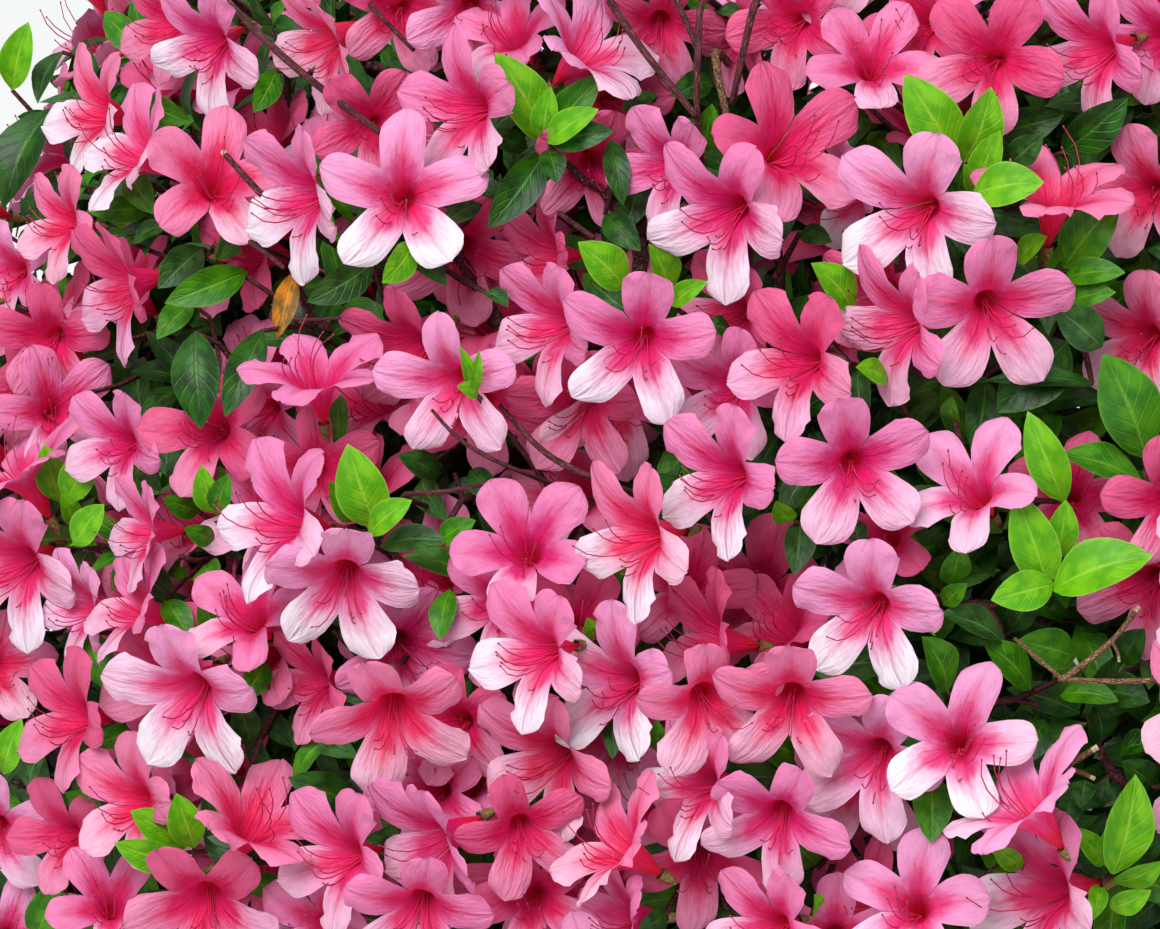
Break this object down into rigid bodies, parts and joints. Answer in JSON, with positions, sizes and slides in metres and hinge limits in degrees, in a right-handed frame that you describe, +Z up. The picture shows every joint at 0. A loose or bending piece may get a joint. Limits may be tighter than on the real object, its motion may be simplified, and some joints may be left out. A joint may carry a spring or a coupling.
{
  "type": "flowering azalea shrub",
  "caption": "Low rounded evergreen azalea shrub in full pink bloom, rooted in the ground, with a short flared trunk, bare inner stems and a dense shell of blossom and small leaves.",
  "frame": {"origin": "centre of the flat cut under the trunk, at ground level", "axes": "+Z up, -Y towards the front of the shrub, the side that the picture shows, +X to its right"},
  "size_m": [0.7483, 0.7327, 0.5943],
  "materials": {
    "bark": "grey-brown, finely cracked old bark, matt",
    "bough_bark": "brown younger bark with pale flecks, matt",
    "twig_bark": "maroon-brown twig skin, slightly smooth",
    "blossom": "pink petals, deep crimson throat and pale margins, soft sheen",
    "leaf": "small evergreen leaves, dark and slightly glossy, young ones bright yellow-green"
  },
  "bodies": {
    "root": {"trunk": "bark", "stem_1": "bark", "stem_2": "bark", "stem_3": "bark", "stem_4": "bark", "stem_5": "bark", "bough_skirt_1": "bough_bark", "bough_skirt_2": "bough_bark", "bough_skirt_3": "bough_bark", "bough_skirt_4": "bough_bark", "bough_skirt_5": "bough_bark", "bough_skirt_6": "bough_bark", "bough_skirt_7": "bough_bark", "bough_shoulder_1": "bough_bark", "bough_shoulder_2": "bough_bark", "bough_shoulder_3": "bough_bark", "bough_shoulder_4": "bough_bark", "bough_shoulder_5": "bough_bark", "bough_shoulder_6": "bough_bark", "bough_top_1": "bough_bark", "bough_top_2": "bough_bark", "bough_top_3": "bough_bark", "bough_top_4": "bough_bark", "foliage_skirt_1": "blossom", "foliage_skirt_2": "blossom", "foliage_skirt_3": "blossom", "foliage_skirt_4": "blossom", "foliage_skirt_5": "blossom", "foliage_skirt_6": "blossom", "foliage_skirt_7": "blossom", "foliage_shoulder_1": "blossom", "foliage_shoulder_2": "blossom", "foliage_shoulder_3": "blossom", "foliage_shoulder_4": "blossom", "foliage_shoulder_5": "blossom", "foliage_shoulder_6": "blossom", "foliage_top_1": "blossom", "foliage_top_2": "blossom", "foliage_top_3": "blossom", "foliage_top_4": "blossom"}
  },
  "joints": []
}
